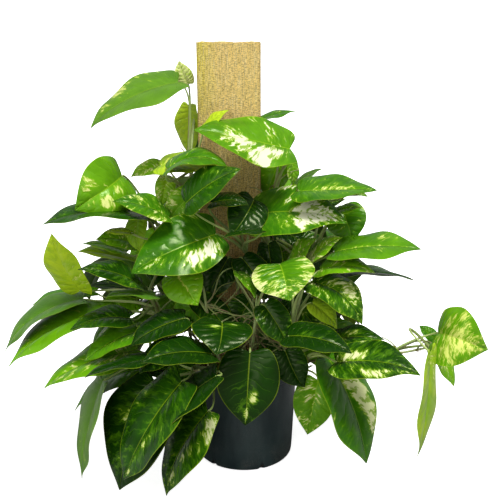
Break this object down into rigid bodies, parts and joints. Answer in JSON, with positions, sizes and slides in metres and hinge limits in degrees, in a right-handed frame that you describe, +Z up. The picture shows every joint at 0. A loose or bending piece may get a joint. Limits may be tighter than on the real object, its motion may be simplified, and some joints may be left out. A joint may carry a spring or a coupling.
{
  "type": "potted golden pothos on a board",
  "caption": "Potted golden pothos: variegated heart-shaped leaves on climbing and trailing stems round a rough upright board, in a tapered nursery pot.",
  "frame": {"origin": "centre of the pot's foot, on the surface that the pot stands on", "axes": "+Z up, -Y towards the front (the side with the hanging leaves), +X to the right, towards the long trailing vine"},
  "size_m": [1.0665, 0.7376, 0.981],
  "materials": {
    "leaf": "waxy green leaf with cream and yellow marbling",
    "pot": "dark green-black moulded nursery plastic",
    "plank": "rough-sawn weathered softwood",
    "soil": "dark bark and peat potting mix"
  },
  "bodies": {
    "root": {"vine_crown_left": "leaf", "vine_crown_right": "leaf", "vine_middle": "leaf", "vine_left_high": "leaf", "vine_left_middle": "leaf", "vine_left_low": "leaf", "vine_rim_left": "leaf", "vine_front_left": "leaf", "vine_front_middle": "leaf", "vine_front_right": "leaf", "vine_rim_right": "leaf", "vine_right_high": "leaf", "vine_trailing_right": "leaf", "vine_crown_back": "leaf", "vine_back_left": "leaf", "vine_back_middle": "leaf", "vine_back_right": "leaf", "vine_side_left": "leaf", "vine_side_right": "leaf", "pot": "pot", "soil": "soil", "plank": "plank"}
  },
  "joints": []
}
